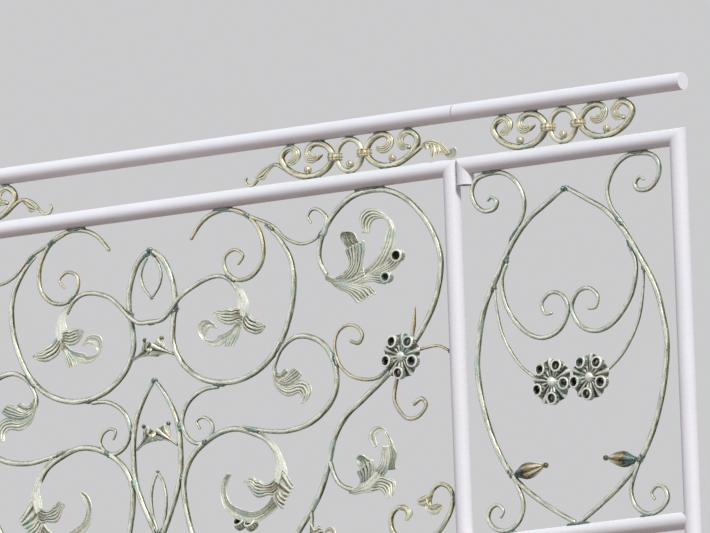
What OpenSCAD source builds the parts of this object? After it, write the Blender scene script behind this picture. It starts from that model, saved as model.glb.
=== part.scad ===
// Wrought iron balcony railing: three bays of white tube filled with forged scrollwork.
// X runs along the railing, Y from the outer face inwards, Z up, all in millimetres.
// The origin is under the base plate of the right inner post.

/* [Bays] */
// Centre bay, post axis to post axis
centre_bay_w = 1700; // [1500:10:1900]
// Side bay, post axis to post axis
side_bay_w = 620; // [560:10:700]

/* [Heights] */
// Handrail axis above the second rail axis
frieze_h = 120; // [112:1:130]
// Second rail axis above the bottom rail axis
panel_h = 835; // [760:5:900]
// Bottom rail axis above the floor
foot_h = 125; // [90:5:180]

/* [Tubes] */
// Outer diameter of rails and posts
tube_d = 38; // [32:1:42]
// Wall of the tubes
tube_wall = 2.6; // [2:0.2:4]
// How far the cut leg of a side bay hangs below its rail axis
stub_h = 42; // [30:1:60]
// Thickness of the discs that close the handrail
cap_t = 3; // [2:1:6]

/* [Base plates] */
// Side of the square plate
plate_w = 100; // [90:5:130]
// Thickness of the plate
plate_t = 8; // [6:1:12]
// Corner radius of the plate
plate_r = 10; // [4:1:14]
// Bolt spacing, both ways
bolt_pitch = 70; // [64:1:76]
// Bolt hole diameter
bolt_d = 11; // [9:0.5:14]

/* [Forged bars] */
// Main bar of the scrolls
bar_d = 12; // [10:1:14]
// Tendrils
tendril_d = 7; // [5:1:9]
// Thickness of a forged leaf
leaf_t = 4; // [3:0.5:6]
// Outer radius of a rosette
rosette_r = 52; // [46:1:56]
// Diameter of the balls
ball_d = 18; // [14:1:20]

/* [Hidden] */

tube_r = tube_d / 2;
bar_r = bar_d / 2;
touch = tube_r + bar_r;
rail_z = foot_h + panel_h;
hand_z = rail_z + frieze_h;
centre_half = centre_bay_w / 2;
side_half = side_bay_w / 2;
seam_x = tube_r;
left_x = -centre_bay_w;
white = "white";
iron = "darkseagreen";
bronze = "darkkhaki";

// Sizes for which the scrollwork is drawn: it is stretched with its bay from contact to contact
drawn_centre = 850;
drawn_side = 310;
drawn_panel = 835;
drawn_bar = 6;
drawn_touch = 25;
drawn_gap = 82;
// Forged ends and lighter bars, as shares of the main bar and of the tendril
end_d = bar_d * 0.7;
mid_d = bar_d * 0.82;
tip_d = tendril_d * 0.75;
// Height of the flat face of a six-sided bar, as a share of its radius
flat = cos(30);
// Clearance between a bar and what is laid over it
lap_gap = 0.2;
// Rosette: thickness of its disc, height of its tubes, and its radii as shares of the outer one
disc_h = 5;
rosette_tube_h = 14;
disc_share = 0.92;
tube_ring_share = 0.72;
boss_share = 0.27;
tube_turn = 60;
// Bend of a bar from one ring of its surface to the next
bend_step = 27;

function stretch(v, from, to, a, b) = a + (v - from) * (b - a) / (to - from);
function depth(p) = len(p) > 2 ? p[2] : 0;
// A point of a bay: x from the post axis to the bay axis, z below the second rail axis
function fit(p, drawn, half) = [
  stretch(p[0], drawn_touch, drawn - drawn_bar, touch, half - bar_r),
  depth(p),
  -stretch(-p[1], drawn_touch, drawn_panel - drawn_touch, touch, panel_h - touch)
];
function in_centre(points) = [for (p = points) fit(p, drawn_centre, centre_half)];
function in_side(points) = [for (p = points) fit(p, drawn_side, side_half)];
// A point of the frieze: x from the middle of its ring, z above the top of the second rail
function in_frieze(points) = [
  for (p = points) [p[0], depth(p), tube_r + p[1] * (frieze_h - tube_d) / drawn_gap]
];

// Smooth curve through points, each with its share of the way as a fourth value;
// a stretch is parted once for every bend_step degrees that it turns
function blend(a, b, c, d, t) = 0.5 * (2 * b + t * (c - a)
  + t * t * (2 * a - 5 * b + 4 * c - d) + t * t * t * (3 * b - a - 3 * c + d));
function bend_at(p, i) = i == 0 || i == len(p) - 1 ? 0
  : let (a = p[i] - p[i - 1], b = p[i + 1] - p[i]) acos(min(1, a * b / norm(a) / norm(b)));
function pieces(p, i) = max(1, round((bend_at(p, i) + bend_at(p, i + 1)) / 2 / bend_step));
function smooth(p) = let (last = len(p) - 1) [
  for (i = [0:last - 1])
    let (n = pieces(p, i), a = p[max(i - 1, 0)], d = p[min(i + 2, last)])
    for (k = [0:n - 1]) concat(blend(a, p[i], p[i + 1], d, k / n), (i + k / n) / last),
  concat(p[last], 1)
];
// Value at the share t of a list of evenly spaced values
function along(list, t) = let (f = t * (len(list) - 1), i = min(floor(f), len(list) - 2))
  list[i] + (list[i + 1] - list[i]) * (f - i);

// Bar carried along points: widths in the plane of the railing, depths across it
module bar(points, widths, depths, sides) {
  path = smooth(points);
  n = len(path) - 1;
  rings = [
    for (i = [0:n])
      let (
        way = path[min(i + 1, n)] - path[max(i - 1, 0)],
        l = norm([way[0], way[2]]),
        w = along(widths, path[i][3]) / 2,
        h = along(depths, path[i][3]) / 2
      )
      for (k = [0:sides - 1])
        let (a = 360 * k / sides)
        [
          path[i][0] - way[2] / l * w * cos(a),
          path[i][1] + h * sin(a),
          path[i][2] + way[0] / l * w * cos(a)
        ]
  ];
  flanks = [
    for (i = [0:n - 1], k = [0:sides - 1])
      let (a = i * sides + k, b = i * sides + (k + 1) % sides)
      each [[a, b, b + sides], [a, b + sides, a + sides]]
  ];
  start = [for (k = [sides - 1:-1:0]) k];
  end = [for (k = [0:sides - 1]) n * sides + k];
  polyhedron(points = rings, faces = concat([start], flanks, [end]), convexity = 10);
}
module round_bar(points, widths) bar(points, widths, widths, 6);
module leaf(points, widths) bar(points, widths, [leaf_t, leaf_t], 4);

// Rolled eye of a leaf: a short open tube across the railing
module eye(p, d, l) translate([p[0], 0, p[2]]) rotate([90, 0, 0]) difference() {
  cylinder(d = d, h = l, center = true, $fn = 24);
  cylinder(d = d * 0.5, h = l + 2, center = true, $fn = 24);
}

// Places a half bay drawn from the post axis towards the bay axis
module centre_right() translate([0, 0, rail_z]) mirror([1, 0, 0]) children();
module centre_left() translate([left_x, 0, rail_z]) children();
module side_right() {
  translate([0, 0, rail_z]) children();
  translate([side_bay_w, 0, rail_z]) mirror([1, 0, 0]) children();
}
module side_left() translate([left_x, 0, 0]) mirror([1, 0, 0]) side_right() children();

// Takes off what lies beyond a mitre at the height l of an upright tube; its long side faces -X
module mitre(l) translate([0, 0, l]) rotate([0, 45, 0]) translate([0, 0, 2 * tube_d])
  cube(4 * tube_d, center = true);
// Tube along +Z, mitred at the ends that are named
module tube(l, low = false, high = false) difference() {
  translate([0, 0, low ? -tube_d : 0])
    difference() {
      cylinder(d = tube_d, h = l + (low ? tube_d : 0) + (high ? tube_d : 0), $fn = 64);
      translate([0, 0, -1])
        cylinder(d = tube_d - 2 * tube_wall, h = l + 3 * tube_d, $fn = 64);
    }
  if (low) mirror([0, 0, 1]) mitre(0);
  if (high) mitre(l);
}
// The same tube laid along +X, its long side up
module rail(x0, x1, z, low = false, high = false)
  translate([x0, 0, z]) rotate([0, 90, 0]) tube(x1 - x0, low, high);

module handrail(x0, x1) rail(x0, x1, hand_z);
module end_cap(x) translate([x, 0, hand_z]) rotate([0, 90, 0])
  cylinder(d = tube_d, h = cap_t, $fn = 64);
module handrail_centre() color(white) handrail(left_x - seam_x, seam_x);
module handrail_right() color(white) {
  handrail(seam_x, side_bay_w + tube_r - cap_t);
  end_cap(side_bay_w + tube_r - cap_t);
}
module handrail_left() translate([left_x, 0, 0]) mirror([1, 0, 0]) handrail_right();

module second_rail_centre() color(white) rail(left_x, 0, rail_z, true, true);
// A side bay has its own frame; its leg at the seam is cut off to a short open stub
module cut_frame(d, l, leg) {
  rotate([0, 90, 0]) cylinder(d = d, h = l, $fn = 64);
  translate([0, 0, -leg]) cylinder(d = d, h = leg, $fn = 64);
  intersection() {
    rotate([0, 90, 0]) cylinder(d = d, h = 2 * d, center = true, $fn = 64);
    cylinder(d = d, h = 2 * d, center = true, $fn = 64);
  }
}
module second_rail_right() color(white) translate([seam_x + tube_r, 0, rail_z]) {
  l = side_bay_w - seam_x - tube_r;
  difference() {
    cut_frame(tube_d, l + tube_d, stub_h);
    cut_frame(tube_d - 2 * tube_wall, l + 2 * tube_d, stub_h + 1);
    rotate([0, 90, 0]) mitre(l);
  }
}
module second_rail_left() translate([left_x, 0, 0]) mirror([1, 0, 0]) second_rail_right();

module post(x, flip) translate([x, 0, plate_t]) mirror([flip ? 1 : 0, 0, 0])
  tube(rail_z - plate_t, false, true);
module post_left_inner() color(white) post(left_x, false);
module post_right_inner() color(white) post(0, true);
module post_left_outer() color(white) post(left_x - side_bay_w, false);
module post_right_outer() color(white) post(side_bay_w, true);

module bottom_rail(x0, x1) difference() {
  rail(x0, x1, foot_h);
  for (x = [x0, x1])
    translate([x, 0, 0]) cylinder(d = tube_d, h = rail_z, $fn = 64);
}
module bottom_rail_centre() color(white) bottom_rail(left_x, 0);
module bottom_rail_left() color(white) bottom_rail(left_x - side_bay_w, left_x);
module bottom_rail_right() color(white) bottom_rail(0, side_bay_w);

module base_plate() difference() {
  union() {
    translate([-plate_w / 2, plate_r - plate_w / 2, 0])
      cube([plate_w, plate_w - 2 * plate_r, plate_t]);
    translate([plate_r - plate_w / 2, -plate_w / 2, 0])
      cube([plate_w - 2 * plate_r, plate_w, plate_t]);
    for (x = [-1, 1], y = [-1, 1])
      translate([x * (plate_w / 2 - plate_r), y * (plate_w / 2 - plate_r), 0])
        cylinder(r = plate_r, h = plate_t, $fn = 48);
  }
  for (x = [-1, 1], y = [-1, 1])
    translate([x * bolt_pitch / 2, y * bolt_pitch / 2, -1])
      cylinder(d = bolt_d, h = plate_t + 2, $fn = 48);
}
module base_plates() color(white)
  for (x = [left_x - side_bay_w, left_x, 0, side_bay_w]) translate([x, 0, 0]) base_plate();

// Acanthus scroll: the great bar that passes the rosette, with its two leaves
module acanthus_scroll() {
  round_bar(in_centre([
    [355, -200], [375, -160], [365, -112], [330, -66], [280, -34], [228, -25], [175, -31],
    [120, -60], [70, -115], [42, -175], [40, -225], [60, -290], [100, -350], [150, -400],
    [205, -442], [265, -482], [315, -515], [350, -560], [370, -620], [400, -685], [460, -758],
    [490, -790], [525, -810], [558, -801], [570, -780], [553, -766], [541, -780]
  ]), [mid_d, bar_d, bar_d, bar_d, bar_d, bar_d, bar_d, end_d]);
  round_bar(in_centre([[362, -112], [350, -78], [365, -56], [388, -49], [403, -63], [394, -80]]),
    [bar_d, tendril_d, tip_d]);
  leaf(in_centre([
    [355, -202], [290, -222], [235, -200], [190, -150], [170, -115], [182, -88], [218, -67],
    [252, -78], [243, -112]
  ]), [10, 44, 46, 26, 20, 24, 34, 36, 20]);
  leaf(in_centre([[320, -212], [300, -170], [285, -128]]), [12, 50, 66]);
  leaf(in_centre([[300, -220], [262, -240], [235, -262]]), [16, 36, 28]);
  leaf(in_centre([[270, -222], [225, -205], [170, -175]]), [16, 30, 18]);
  leaf(in_centre([[270, -222], [235, -222], [200, -220]]), [16, 26, 16]);
  eye(fit([164, -172], drawn_centre, centre_half), 26, 16);
  eye(fit([197, -220], drawn_centre, centre_half), 24, 16);
  round_bar(in_centre([[366, -608], [352, -648], [330, -670], [298, -682]]), [mid_d, mid_d]);
  leaf(in_centre([
    [300, -682], [255, -665], [220, -635], [194, -595], [205, -562], [230, -547], [252, -563],
    [245, -588]
  ]), [10, 40, 36, 26, 22, 22, 20, 12]);
  leaf(in_centre([[285, -678], [275, -640], [272, -605]]), [12, 36, 40]);
  leaf(in_centre([[280, -682], [235, -685], [192, -692]]), [12, 32, 36]);
  round_bar(in_centre([[426, -715], [424, -735], [415, -752]]), [mid_d, bar_d * 1.2, tip_d]);
}
module acanthus_scroll_left() color(iron) centre_left() acanthus_scroll();
module acanthus_scroll_right() color(iron) centre_right() acanthus_scroll();

// Heart: two bars that meet in a point on the bay axis
module heart_scroll() round_bar(in_centre([
  [515, -76], [480, -110], [456, -150], [448, -200], [458, -262], [490, -332], [545, -383],
  [620, -407], [700, -398], [760, -362], [792, -310], [792, -260], [784, -215], [790, -165],
  [812, -118], [844, -92]
]), [end_d, bar_d, bar_d, bar_d, bar_d, bar_d]);
module heart_scrolls() color(iron) {
  centre_left() heart_scroll();
  centre_right() heart_scroll();
}

// Stem that lies flat across the bay axis and opens in a leaf at both ends
module leaf_stem() {
  lap = (bar_r + mid_d / 2) * flat + lap_gap;
  round_bar(in_centre([
    [856, -252, -lap], [818, -251, -lap], [790, -232, -lap], [762, -205, -lap], [727, -183],
    [685, -170], [652, -170], [625, -184], [605, -210]
  ]), [mid_d, mid_d, mid_d, end_d]);
  leaf(in_centre([
    [605, -205], [598, -240], [600, -275], [625, -298], [665, -315], [705, -310], [722, -285],
    [700, -268], [678, -282]
  ]), [12, 48, 50, 34, 20, 16, 14, 12, 10]);
  leaf(in_centre([[598, -225], [640, -235], [676, -252]]), [16, 32, 16]);
  leaf(in_centre([[595, -250], [560, -280], [538, -302]]), [20, 34, 20]);
}
module leaf_stems() color(iron) {
  centre_left() leaf_stem();
  centre_right() leaf_stem();
}

// Loop that turns over the heart and comes back under it
module loop_scroll() {
  round_bar(in_centre([
    [500, -420], [512, -395], [504, -370], [489, -348], [465, -332], [440, -326], [408, -331],
    [372, -350], [347, -386], [338, -425], [345, -462], [372, -495], [420, -522], [480, -532],
    [535, -527], [580, -516]
  ]), [end_d, end_d, mid_d, bar_d, bar_d, bar_d, mid_d, end_d]);
  leaf(in_centre([[508, -402], [492, -428], [462, -441], [432, -440], [420, -452], [430, -472]]),
    [14, 32, 32, 28, 24, 12]);
  leaf(in_centre([[498, -412], [472, -412], [446, -408]]), [10, 24, 26]);
}
module loop_scroll_left() color(iron) centre_left() loop_scroll();
module loop_scroll_right() color(iron) centre_right() loop_scroll();

// Foot scroll: leaf, arch, crossing of the lyre and a foot on the bottom rail
module foot_scroll() {
  round_bar(in_centre([
    [513, -578], [537, -549], [572, -530], [620, -514], [665, -516], [708, -532], [743, -555],
    [766, -584], [777, -617], [777, -650], [770, -690], [756, -738], [722, -792], [682, -810],
    [648, -800], [636, -779], [650, -765], [664, -778]
  ]), [mid_d, bar_d, bar_d, bar_d, bar_d, end_d]);
  round_bar(in_centre([
    [668, -415], [712, -417], [748, -434], [770, -460], [776, -490], [762, -519], [738, -534],
    [712, -534]
  ]), [end_d, mid_d, mid_d, end_d]);
  round_bar(in_centre([[705, -530], [690, -508], [697, -488], [717, -478], [735, -485], [726, -504]]),
    [end_d, tendril_d, tip_d]);
  leaf(in_centre([
    [513, -575], [505, -620], [520, -665], [560, -690], [610, -698], [652, -675], [672, -640],
    [655, -612], [642, -625]
  ]), [12, 44, 52, 46, 38, 30, 22, 16, 10]);
  leaf(in_centre([[505, -610], [485, -635], [472, -660]]), [16, 26, 12]);
  leaf(in_centre([[520, -650], [560, -645], [598, -628]]), [20, 36, 12]);
  eye(fit([629, -722], drawn_centre, centre_half), 24, 16);
  eye(fit([600, -727], drawn_centre, centre_half), 22, 16);
}
module foot_scroll_left() color(iron) centre_left() foot_scroll();
module foot_scroll_right() color(iron) centre_right() foot_scroll();

// Lyre: two bars that rise from the bottom rail and meet on the bay axis
module lyre_scroll() round_bar(in_centre([
  [846, -385], [822, -415], [799, -455], [787, -495], [783, -545], [787, -602], [802, -648],
  [822, -690], [844, -738], [836, -778], [812, -804], [786, -810], [764, -798], [762, -780],
  [776, -773]
]), [end_d, bar_d, bar_d, bar_d, bar_d, end_d]);
module lyre_scrolls() color(iron) {
  centre_left() lyre_scroll();
  centre_right() lyre_scroll();
}

// Small drops and bell flowers beside the bay axis
module axis_spray() {
  round_bar(in_centre([[842, -105], [829, -122], [821, -146], [828, -172], [848, -196]]),
    [tendril_d, tendril_d, tendril_d, tip_d]);
  round_bar(in_centre([[848, -590], [836, -610], [829, -642], [832, -681], [845, -719]]),
    [tendril_d, tendril_d, tendril_d, tip_d]);
  flower(fit([788, -331], drawn_centre, centre_half), fit([842, -312], drawn_centre, centre_half));
  flower(fit([792, -532], drawn_centre, centre_half), fit([840, -492], drawn_centre, centre_half));
}
// Bell flower on a short stem from a to b
module flower(a, b) {
  l = norm(b - a);
  translate(a) rotate([0, atan2(b[0] - a[0], b[2] - a[2]), 0]) rotate_extrude($fn = 32)
    polygon([
      [0, 0], [3, 0], [3, l * 0.3], [9, l * 0.45], [12, l * 0.7], [11, l * 0.9], [15, l],
      [12, l], [8, l * 0.9], [8, l * 0.7], [0, l * 0.6]
    ]);
}
module axis_sprays() color(bronze) {
  centre_left() axis_spray();
  centre_right() axis_spray();
}

// Tendril under the second rail, and the link from it to the acanthus scroll
module rail_tendril() {
  round_bar(in_centre([
    [735, -80], [705, -47], [668, -28], [618, -25], [568, -46], [535, -92], [534, -145],
    [565, -178], [605, -183], [637, -160], [640, -128], [612, -115], [588, -130], [604, -150]
  ]), [end_d, mid_d, mid_d, end_d, tip_d]);
  round_bar(in_centre([[610, -28], [555, -50], [505, -72], [465, -106], [425, -122], [372, -107]]),
    [end_d, tendril_d, tendril_d]);
}
module rail_tendril_left() color(iron) centre_left() rail_tendril();
module rail_tendril_right() color(iron) centre_right() rail_tendril();

// Tendrils that spring from the rosette
module rosette_tendrils() {
  round_bar(in_centre([
    [175, -407], [220, -438], [262, -440], [302, -426], [331, -397], [341, -358], [332, -330],
    [308, -316], [280, -320], [263, -340], [274, -358], [298, -350]
  ]), [end_d, tendril_d, tendril_d, end_d]);
  round_bar(in_centre([[129.5, -393], [60, -386], [22, -402]]), [tendril_d, tip_d]);
  round_bar(in_centre([
    [163, -422], [180, -480], [175, -508], [150, -536], [118, -537], [94, -515], [106, -498],
    [130, -510]
  ]), [end_d, end_d, end_d, mid_d]);
  round_bar(in_centre([[128, -370], [120, -333], [114, -293]]), [tendril_d, mid_d, leaf_t]);
}
module rosette_tendrils_left() color(bronze) centre_left() rosette_tendrils();
module rosette_tendrils_right() color(bronze) centre_right() rosette_tendrils();

// Open scroll that stands on the bottom rail beside the post
module post_scroll() {
  round_bar(in_centre([
    [156, -760], [147, -747], [158, -734], [180, -731], [200, -748], [199, -780], [170, -806],
    [130, -810], [80, -800], [43, -763], [29, -728], [38, -702], [62, -691], [84, -702],
    [93, -725], [84, -748], [62, -744]
  ]), [tendril_d, mid_d, bar_d, mid_d, end_d, tip_d]);
  leaf(in_centre([[88, -712], [98, -720], [112, -722]]), [8, 16, 10]);
}
module post_scroll_left() color(iron) centre_left() post_scroll();
module post_scroll_right() color(iron) centre_right() post_scroll();

// Side bay: great oval, with the spiral that stands on the bottom rail
module oval_scroll() {
  round_bar(in_side([
    [305, -78], [255, -107], [205, -137], [160, -182], [115, -250], [76, -320], [56, -400],
    [52, -460], [65, -540], [95, -625], [135, -690], [190, -740], [250, -780], [304, -811]
  ]), [mid_d, bar_d, bar_d, bar_d, mid_d]);
  round_bar(in_side([
    [120, -665], [150, -718], [163, -757], [152, -790], [122, -810], [88, -805], [66, -783],
    [72, -760], [92, -752], [108, -766], [99, -782]
  ]), [end_d, mid_d, mid_d, tip_d]);
}
module oval_scrolls_right() color(iron) side_right() oval_scroll();
module oval_scrolls_left() color(iron) side_left() oval_scroll();

// Side bay: branch that winds up inside the oval, and the thin stem of the rosette
module spiral_scroll() {
  round_bar(in_side([
    [142, -226], [127, -260], [132, -305], [152, -345], [190, -383], [235, -399], [280, -385],
    [305, -345], [290, -311], [258, -303], [234, -322], [241, -346], [262, -347]
  ]), [end_d, mid_d, mid_d, end_d, tendril_d]);
  round_bar(in_side([[107, -279], [110, -322], [125, -385], [165, -448], [215, -487], [258, -498]]),
    [tip_d, tendril_d, tip_d]);
}
module spiral_scrolls_right() color(iron) side_right() spiral_scroll();
module spiral_scrolls_left() color(iron) side_left() spiral_scroll();

// Side bay: scroll hung under the second rail beside the post
module corner_scroll() round_bar(in_side([
  [95, -84], [108, -76], [121, -88], [112, -103], [84, -104], [60, -84], [54, -55], [70, -32],
  [105, -24], [145, -28], [178, -52], [196, -90], [190, -128], [164, -162]
]), [tip_d, mid_d, mid_d, mid_d, end_d]);
module corner_scrolls_right() color(iron) side_right() corner_scroll();
module corner_scrolls_left() color(iron) side_left() corner_scroll();

// Rosette: disc with five rolled tubes round a boss, laid on the outer face of a bar
module rosette(bar_w) translate([0, -bar_w / 2 * flat - lap_gap, 0]) rotate([90, 0, 0]) {
  ring = rosette_r * tube_ring_share;
  rolled_r = rosette_r - ring;
  boss_r = rosette_r * boss_share;
  difference() {
    union() {
      cylinder(r = rosette_r * disc_share, h = disc_h, $fn = 48);
      for (k = [0:4]) rotate(tube_turn + 72 * k) translate([ring, 0, 0])
        cylinder(r = rolled_r, h = rosette_tube_h, $fn = 32);
      translate([0, 0, disc_h]) sphere(r = boss_r, $fn = 32);
    }
    for (k = [0:4]) rotate(tube_turn + 72 * k) translate([ring, 0, leaf_t])
      cylinder(r = rolled_r / 2, h = rosette_tube_h, $fn = 32);
    translate([0, 0, -rosette_r]) cylinder(r = rosette_r, h = rosette_r, $fn = 32);
  }
}
module centre_rosette() translate(fit([150, -400], drawn_centre, centre_half)) rosette(bar_d);
module side_rosette() translate([
  side_half - rosette_r, 0, fit([258, -498], drawn_side, side_half)[2]
]) rosette(tip_d);
module rosettes() color(bronze) {
  centre_left() centre_rosette();
  centre_right() centre_rosette();
  side_left() side_rosette();
  side_right() side_rosette();
}

// Bud with a ball at its tip
module bud() flower_bud(
  fit([149, -690], drawn_side, side_half), fit([228, -678], drawn_side, side_half)
);
module flower_bud(a, b) {
  l = norm(b - a);
  translate(a) rotate([0, atan2(b[0] - a[0], b[2] - a[2]), 0]) {
    rotate_extrude($fn = 32) polygon([
      [0, 0], [5, 0], [8, l * 0.15], [16, l * 0.3], [18, l * 0.5], [12, l * 0.72], [3, l * 0.85],
      [3, l], [0, l]
    ]);
    translate([0, 0, l]) sphere(d = ball_d * 0.7, $fn = 32);
  }
}
module buds() color(bronze) {
  side_right() bud();
  side_left() bud();
}

// Frieze between second rail and handrail: two scrolls tied to a ring by collars
ring_r = (frieze_h - tube_d) / 2;
tie_x = ring_r + bar_r;
collar_t = 3;
collar_h = 14;
collar_gap = 1.6;
ball_x = 118;
frieze_centre_x = 280;
frieze_side_x = side_half;
module c_scroll() round_bar(in_frieze([
  [76, 52], [92, 42], [110, 45], [117, 60], [106, 73], [86, 76], [61, 66], [tie_x, 44],
  [61, 21], [92, 7], [120, 6], [150, 14], [176, 30], [190, 52], [181, 68], [163, 74], [147, 67],
  [144, 54], [155, 44], [170, 39]
]), [tendril_d, mid_d, bar_d, bar_d, bar_d, mid_d, tendril_d]);
module frieze_scroll() {
  c_scroll();
  mirror([1, 0, 0]) c_scroll();
  translate([0, 0, tube_r + ring_r]) rotate([90, 0, 0])
    rotate_extrude($fn = 48) translate([ring_r - bar_r, 0]) circle(r = bar_r, $fn = 24);
}
module place_frieze(x) translate([x, 0, rail_z]) children();
frieze_xs = [
  left_x + frieze_centre_x, -frieze_centre_x,
  left_x - frieze_side_x, frieze_side_x
];
module frieze_scrolls_centre_left() color(iron) place_frieze(frieze_xs[0]) frieze_scroll();
module frieze_scrolls_centre_right() color(iron) place_frieze(frieze_xs[1]) frieze_scroll();
module frieze_scrolls_left() color(iron) place_frieze(frieze_xs[2]) frieze_scroll();
module frieze_scrolls_right() color(iron) place_frieze(frieze_xs[3]) frieze_scroll();

// Collar: square band round the two bars that lie side by side
module collar() difference() {
  w = 2 * (bar_d + collar_gap);
  d = bar_d + 2 * lap_gap;
  cube([w + 2 * collar_t, d + 2 * collar_t, collar_h], center = true);
  cube([w, d, collar_h + 2], center = true);
}
module frieze_collars() color(bronze)
  for (x = frieze_xs, s = [-1, 1])
    place_frieze(x) translate([s * ring_r, 0, tube_r + ring_r]) collar();
module frieze_balls() color(bronze)
  for (x = frieze_xs, s = [-1, 0, 1])
    place_frieze(x) translate([s * ball_x, 0, tube_r + bar_d + ball_d / 2]) sphere(d = ball_d, $fn = 32);

// Leaf that runs out from the end of a frieze scroll
module frieze_leaf() {
  round_bar(in_frieze([[170, 14], [190, 28], [208, 43]]), [end_d, end_d, mid_d]);
  leaf(in_frieze([[205, 42], [225, 46], [245, 42], [262, 27], [278, 8], [292, 12], [290, 24]]),
    [8, 22, 28, 24, 12, 14, 12]);
}
module frieze_leaves() color(bronze)
  for (x = [frieze_xs[0], frieze_xs[1]]) place_frieze(x) {
    frieze_leaf();
    mirror([1, 0, 0]) frieze_leaf();
  }

handrail_centre();
handrail_left();
handrail_right();
second_rail_centre();
second_rail_left();
second_rail_right();
post_left_inner();
post_right_inner();
post_left_outer();
post_right_outer();
bottom_rail_centre();
bottom_rail_left();
bottom_rail_right();
base_plates();
acanthus_scroll_left();
acanthus_scroll_right();
heart_scrolls();
leaf_stems();
loop_scroll_left();
loop_scroll_right();
foot_scroll_left();
foot_scroll_right();
lyre_scrolls();
axis_sprays();
rail_tendril_left();
rail_tendril_right();
rosette_tendrils_left();
rosette_tendrils_right();
post_scroll_left();
post_scroll_right();
oval_scrolls_left();
oval_scrolls_right();
spiral_scrolls_left();
spiral_scrolls_right();
corner_scrolls_left();
corner_scrolls_right();
rosettes();
buds();
frieze_scrolls_centre_left();
frieze_scrolls_centre_right();
frieze_scrolls_left();
frieze_scrolls_right();
frieze_collars();
frieze_balls();
frieze_leaves();
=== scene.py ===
"""Looks of a wrought iron balcony railing, in metres: X along the railing, Y inwards, Z up.

The sections follow the railing as it is put together: white tubes, forged bars and leaves bay by
bay, rosettes and buds, frieze and welds, and then the floor and the light.
"""

import bpy
import numpy as np
from mathutils import Matrix


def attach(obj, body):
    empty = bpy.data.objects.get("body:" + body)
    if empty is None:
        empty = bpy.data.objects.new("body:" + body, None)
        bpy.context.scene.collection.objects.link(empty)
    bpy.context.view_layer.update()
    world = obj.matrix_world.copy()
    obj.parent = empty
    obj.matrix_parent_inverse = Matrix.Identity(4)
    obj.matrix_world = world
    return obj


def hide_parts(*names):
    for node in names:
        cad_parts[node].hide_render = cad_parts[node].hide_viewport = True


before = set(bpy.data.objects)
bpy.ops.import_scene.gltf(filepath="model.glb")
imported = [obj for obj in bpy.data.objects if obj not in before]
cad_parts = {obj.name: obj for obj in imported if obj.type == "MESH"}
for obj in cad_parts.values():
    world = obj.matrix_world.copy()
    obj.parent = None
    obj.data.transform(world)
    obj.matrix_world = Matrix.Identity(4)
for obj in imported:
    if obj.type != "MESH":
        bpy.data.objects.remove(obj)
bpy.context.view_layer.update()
scene = bpy.context.scene
scene.view_settings.view_transform = "Standard"

# Camera: it stands far off to the right and lower than the floor, and looks up along the railing
# through a long lens.
def axes_at(right, up, back, spot):
    """Matrix of an object at a spot, whose x, y and z axes point right, up and back."""
    columns = np.column_stack([right, up, back, spot])
    return Matrix([[*row] for row in np.vstack([columns, [0, 0, 0, 1]])])


turn, lift, roll = np.radians([37.7, 7.2126, -2.0782])
ahead = np.array([-np.sin(turn) * np.cos(lift), np.cos(turn) * np.cos(lift), np.sin(lift)])
level = np.array([np.cos(turn), np.sin(turn), 0])
above = np.cross(level, ahead)
right = level * np.cos(roll) + above * np.sin(roll)
top = above * np.cos(roll) - level * np.sin(roll)
stand = np.array([20.5473, -26.9429, -3.5376])
camera = bpy.data.objects.new("camera", bpy.data.cameras.new("camera"))
camera.data.lens = 791.3
camera.data.clip_end = 200
camera.matrix_world = axes_at(right, top, -ahead, stand)
scene.collection.objects.link(camera)
scene.camera = camera


# White tubes: rails, posts and base plates of round steel tube and plate, welded together and
# sprayed with white enamel, which is faintly uneven. Faces that look down are painted darker and
# warm: painted shade, with a painted warm glow of light thrown up from below. They keep the shape
# of the frame; the butt seams of the two upper rails show as fine lines.
class Field:
    """Output of a material node that is added, multiplied and mixed as in a formula."""

    def __init__(self, tree, socket):
        self.tree = tree
        self.socket = socket

    def node(self, kind, settings, inputs, output=0):
        """Any node of this material, with its settings and inputs by name or number."""
        node = self.tree.nodes.new(kind)
        for name, value in settings.items():
            setattr(node, name, value)
        for name, value in inputs.items():
            if isinstance(value, Field):
                self.tree.links.new(value.socket, node.inputs[name])
            else:
                node.inputs[name].default_value = value
        return Field(self.tree, node.outputs[output])

    def math(self, kind, a, b=0.0):
        """One sum, difference, product or other operation on a and b."""
        return self.node("ShaderNodeMath", {"operation": kind}, {0: a, 1: b})

    def __add__(self, other):
        return self.math("ADD", self, other)

    def __sub__(self, other):
        return self.math("SUBTRACT", self, other)

    def __mul__(self, other):
        return self.math("MULTIPLY", self, other)

    def __radd__(self, other):
        return self.math("ADD", other, self)

    def __rsub__(self, other):
        return self.math("SUBTRACT", other, self)

    def __rmul__(self, other):
        return self.math("MULTIPLY", other, self)

    def times(self, factors):
        """This vector with each coordinate multiplied."""
        return self.node("ShaderNodeVectorMath", {"operation": "MULTIPLY"}, {0: self, 1: factors})

    def part(self, axis):
        """One coordinate of this vector."""
        return self.node("ShaderNodeSeparateXYZ", {}, {0: self}, axis)

    def noise(self, scale, detail=4.0, roughness=0.55):
        """Noise between 0 and 1 at this place."""
        return self.node("ShaderNodeTexNoise", {}, {
            "Vector": self, "Scale": scale, "Detail": detail, "Roughness": roughness})

    def band(self, low, high):
        """0 below low, 1 above high, with a soft step between them."""
        return self.node("ShaderNodeMapRange", {"interpolation_type": "SMOOTHSTEP"}, {
            "Value": self, "From Min": low, "From Max": high})

    def mix(self, a, b):
        """Colour a where this is 0 and colour b where it is 1."""
        return self.node("ShaderNodeMix", {"data_type": "RGBA"}, {0: self, 6: a, 7: b}, 2)


def rgb(red, green, blue):
    """Colour that covers fully."""
    return (red, green, blue, 1.0)


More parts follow.
